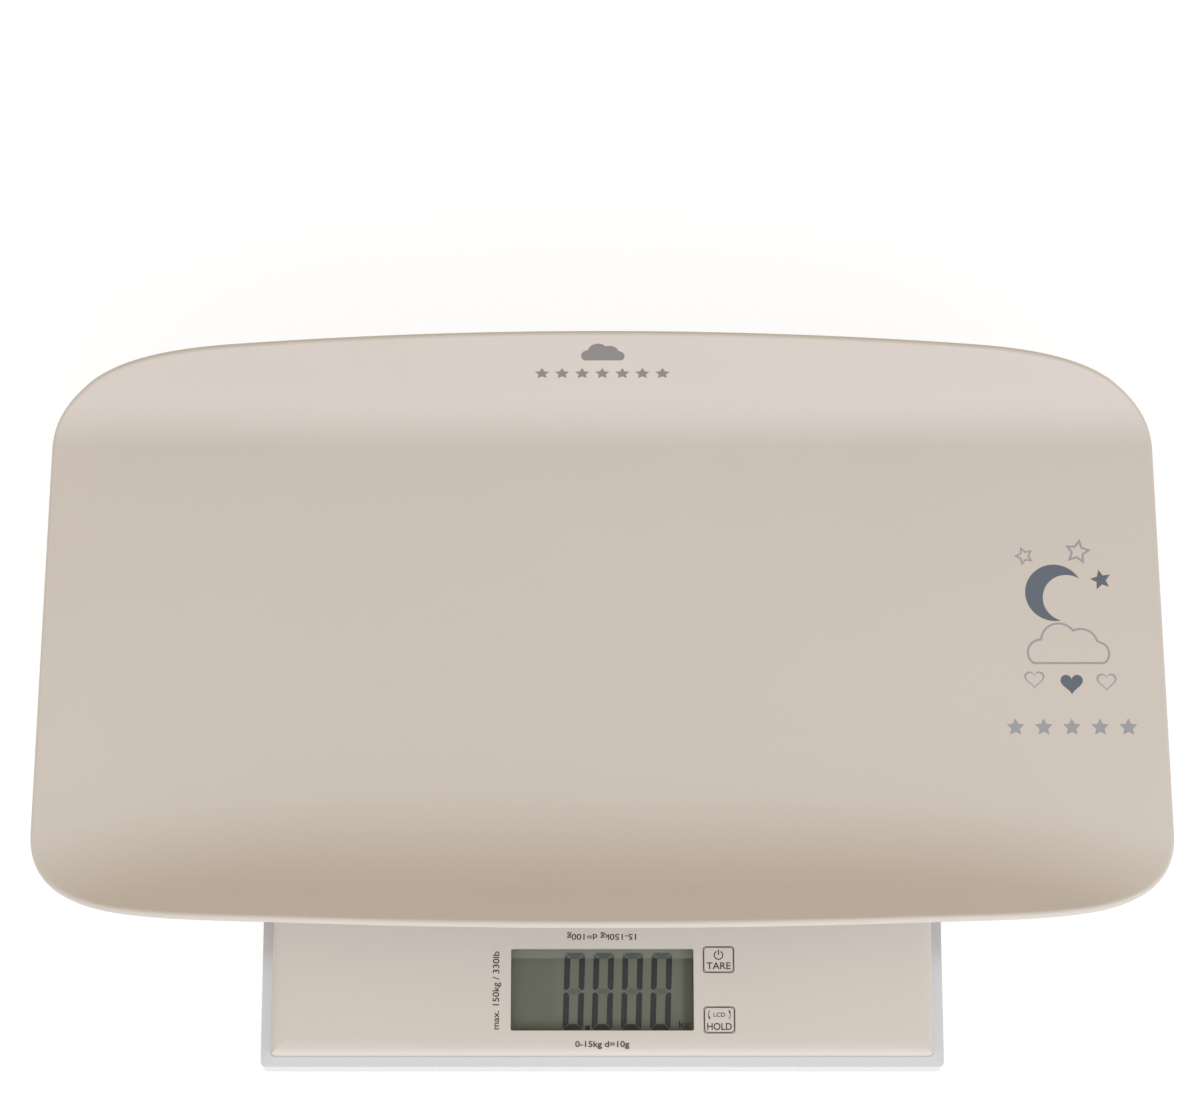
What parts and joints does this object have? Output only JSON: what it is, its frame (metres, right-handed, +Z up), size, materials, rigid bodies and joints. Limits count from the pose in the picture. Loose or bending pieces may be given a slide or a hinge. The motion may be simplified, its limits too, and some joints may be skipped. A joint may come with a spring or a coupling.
{
  "type": "digital baby scale",
  "caption": "Low square weighing platform with a display and press keys, carrying a lift-off curved tray for a lying baby.",
  "frame": {"origin": "on the ground under the middle of the object's bounding box", "axes": "+X along the tray's length, -Y towards the display side, +Z up"},
  "size_m": [0.503, 0.3192, 0.0842],
  "materials": {
    "tray_plastic": "cream moulded ABS, satin gloss",
    "cover_plastic": "cream moulded ABS, glossy",
    "silver_plastic": "silver-grey moulded ABS, glossy",
    "white_plastic": "white moulded plastic, satin",
    "black_plastic": "black moulded epoxy, matte",
    "soft_rubber": "grey rubber, matte",
    "contact_rubber": "conductive rubber strip, matte",
    "clear_lens": "clear acrylic lens, polished",
    "lcd_glass": "grey-green reflective display glass",
    "board_laminate": "green solder mask on laminate",
    "cell_jacket": "plain printed steel can",
    "contact_metal": "nickel-plated spring steel",
    "cell_steel": "ground alloy steel",
    "screw_steel": "zinc-plated steel",
    "gauge_seal": "white silicone sealant",
    "red_lead": "soft insulated wire",
    "black_lead": "soft insulated wire",
    "white_lead": "three-core insulated wire"
  },
  "bodies": {
    "base": {"platform_cover": "cover_plastic", "base_housing": "silver_plastic", "housing_screws": "screw_steel", "display_window": "clear_lens", "lcd_panel": "lcd_glass", "lcd_frame": "white_plastic", "lcd_contact_strips": "contact_rubber", "main_board": "board_laminate", "board_parts": "black_plastic", "board_screws": "screw_steel", "battery_cell_1": "cell_jacket", "battery_cell_2": "cell_jacket", "battery_contacts": "contact_metal", "battery_springs": "contact_metal", "battery_lead_red": "red_lead", "battery_lead_black": "black_lead", "gauge_pads": "gauge_seal", "foot_clips": "contact_metal", "load_cell_front_left": "cell_steel", "cell_lead_front_left": "white_lead", "foot_cup_front_left": "white_plastic", "foot_pad_front_left": "soft_rubber", "load_cell_front_right": "cell_steel", "cell_lead_front_right": "white_lead", "foot_cup_front_right": "white_plastic", "foot_pad_front_right": "soft_rubber", "load_cell_rear_left": "cell_steel", "cell_lead_rear_left": "white_lead", "foot_cup_rear_left": "white_plastic", "foot_pad_rear_left": "soft_rubber", "load_cell_rear_right": "cell_steel", "cell_lead_rear_right": "white_lead", "foot_cup_rear_right": "white_plastic", "foot_pad_rear_right": "soft_rubber", "switch_body_tare": "black_plastic", "switch_body_hold": "black_plastic"},
    "tray": {"tray_shell": "tray_plastic", "tray_saddle": "tray_plastic", "saddle_screws": "screw_steel", "grip_pad_front_left": "soft_rubber", "grip_pad_front_right": "soft_rubber", "grip_pad_rear_left": "soft_rubber", "grip_pad_rear_right": "soft_rubber"},
    "tare_key": {"key_tare": "cover_plastic", "switch_plunger_tare": "white_plastic"},
    "hold_key": {"key_hold": "cover_plastic", "switch_plunger_hold": "white_plastic"},
    "battery_hatch": {"battery_door": "silver_plastic"}
  },
  "joints": [
    {"name": "tray_lift", "type": "slide", "parent": "base", "child": "tray", "axis": [0, 0, 1], "range_m": [0, 0.09]},
    {"name": "tare_press", "type": "slide", "parent": "base", "child": "tare_key", "axis": [0, 0, -1], "range_m": [0, 0.0005], "stiffness_N_per_m": 400, "springref_m": -0.001},
    {"name": "hold_press", "type": "slide", "parent": "base", "child": "hold_key", "axis": [0, 0, -1], "range_m": [0, 0.0005], "stiffness_N_per_m": 400, "springref_m": -0.001},
    {"name": "battery_hatch_hinge", "type": "hinge", "parent": "base", "child": "battery_hatch", "pos_m": [0, -0.01475, 0.0052], "axis": [-1, 0, 0], "range_deg": [0, 80]}
  ]
}
